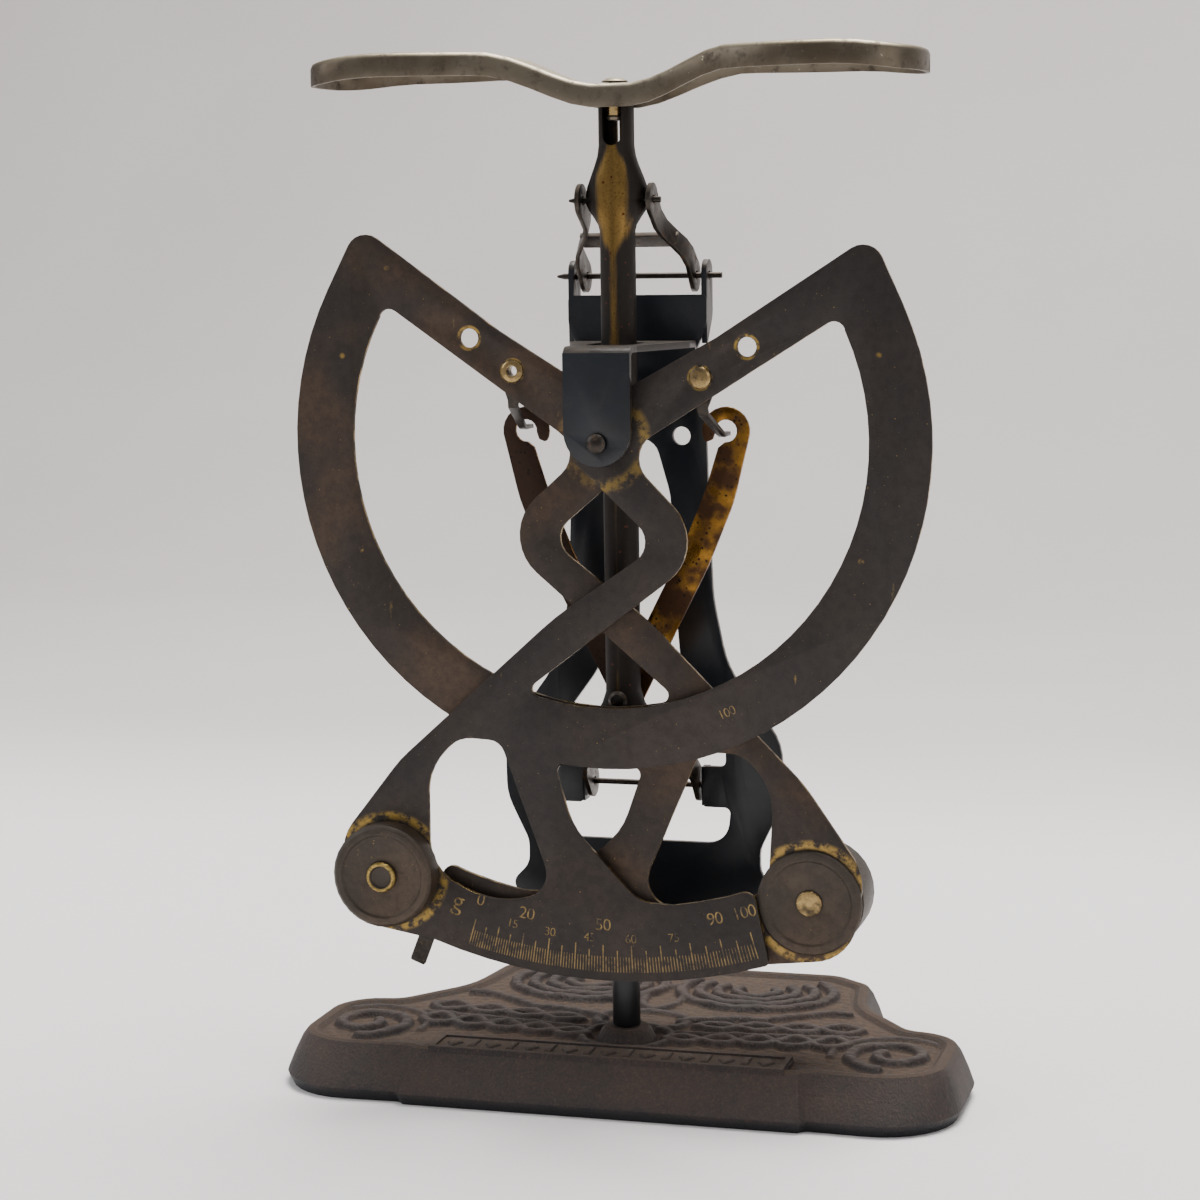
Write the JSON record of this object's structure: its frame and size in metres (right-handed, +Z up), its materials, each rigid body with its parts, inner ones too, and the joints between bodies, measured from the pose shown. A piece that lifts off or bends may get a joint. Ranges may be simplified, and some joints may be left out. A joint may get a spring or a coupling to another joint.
{
  "type": "pendulum letter scale",
  "caption": "Upright letter scale: a wavy tray on a post guided by parallel links, hooked to mirrored pendulum plates with round weights and a curved gram scale, on a cast base.",
  "frame": {"origin": "middle of the base's rectangle, on the surface that the base stands on", "axes": "+Z up along the load post, the face with the scale looks along -Y, +X is to the right seen from the front"},
  "size_m": [0.1392, 0.0838, 0.2068],
  "materials": {
    "cast_brown": "dark brown casting with dust in its hollows",
    "dark_blue_paint": "dark blue stove enamel, dusty and worn",
    "brown_patina": "brown bronzed brass with bright worn edges",
    "worn_brass": "golden brass, tarnished in patches",
    "speckled_brass": "golden brass with dark speckles",
    "grey_steel": "grey stamped steel, dusty",
    "dark_steel": "dark oxidised steel",
    "tarnished_nickel": "nickel-plated sheet, yellowed and tarnished"
  },
  "bodies": {
    "stand": {"base": "cast_brown", "base_screw": "dark_steel", "column": "dark_blue_paint", "foot_screw": "dark_steel", "frame": "dark_blue_paint", "pivot_bracket": "dark_blue_paint", "bracket_rivet_left": "dark_steel", "bracket_rivet_right": "dark_steel", "pivot_pin": "dark_steel", "pivot_collar": "worn_brass", "pivot_spacer": "worn_brass", "pivot_retainer": "dark_steel", "upper_frame_pin": "dark_steel", "lower_frame_pin": "dark_steel"},
    "front_pendulum_body": {"front_pendulum": "brown_patina", "front_weight": "brown_patina", "front_weight_stud": "worn_brass", "front_knife_hanger": "dark_steel", "front_hanger_eyelet": "worn_brass"},
    "rear_pendulum_body": {"rear_pendulum": "brown_patina", "rear_weight": "brown_patina", "rear_weight_cap": "brown_patina", "rear_weight_stud": "worn_brass", "rear_knife_hanger": "dark_steel", "rear_hanger_eyelet": "worn_brass", "pointer": "dark_steel", "pointer_rivet": "worn_brass"},
    "upper_link_body": {"upper_link": "grey_steel"},
    "lower_link_body": {"lower_link": "grey_steel"},
    "load_post": {"post": "worn_brass", "load_plate": "tarnished_nickel", "plate_saddle": "worn_brass", "plate_rivet": "tarnished_nickel", "upper_post_pin": "dark_steel", "lower_post_pin": "dark_steel", "hook_pin": "dark_steel"},
    "left_hook_body": {"left_hook_link": "speckled_brass"},
    "right_hook_body": {"right_hook_link": "speckled_brass"}
  },
  "joints": [
    {"name": "front_pendulum_swing", "type": "hinge", "parent": "stand", "child": "front_pendulum_body", "pos_m": [0, -0.029, 0.1315], "axis": [0, 1, 0], "range_deg": [0, 18.4]},
    {"name": "rear_pendulum_swing", "type": "hinge", "parent": "stand", "child": "rear_pendulum_body", "pos_m": [0, -0.0265, 0.1315], "axis": [0, -1, 0], "range_deg": [0, 18.4]},
    {"name": "upper_link_hinge", "type": "hinge", "parent": "stand", "child": "upper_link_body", "pos_m": [0, 0.0002, 0.163], "axis": [1, 0, 0], "range_deg": [0, 19]},
    {"name": "lower_link_hinge", "type": "hinge", "parent": "stand", "child": "lower_link_body", "pos_m": [0, 0.0002, 0.059], "axis": [1, 0, 0], "range_deg": [0, 19]},
    {"name": "post_hinge", "type": "hinge", "parent": "upper_link_body", "child": "load_post", "pos_m": [0, -0.0171, 0.178], "axis": [1, 0, 0], "range_deg": [-19, 0]},
    {"name": "left_hook_hinge", "type": "hinge", "parent": "load_post", "child": "left_hook_body", "pos_m": [0, -0.013, 0.0795], "axis": [0, 1, 0], "range_deg": [0, 1.3]},
    {"name": "right_hook_hinge", "type": "hinge", "parent": "load_post", "child": "right_hook_body", "pos_m": [0, -0.0116, 0.0795], "axis": [0, -1, 0], "range_deg": [0, 1.3]}
  ],
  "couplings": [
    {"joint": "rear_pendulum_swing", "follows": "front_pendulum_swing", "ratio": 1},
    {"joint": "upper_link_hinge", "follows": "front_pendulum_swing", "ratio": 1.03},
    {"joint": "lower_link_hinge", "follows": "front_pendulum_swing", "ratio": 1.03},
    {"joint": "post_hinge", "follows": "front_pendulum_swing", "ratio": -1.03},
    {"joint": "left_hook_hinge", "follows": "front_pendulum_swing", "ratio": 0.062},
    {"joint": "right_hook_hinge", "follows": "front_pendulum_swing", "ratio": 0.062}
  ]
}
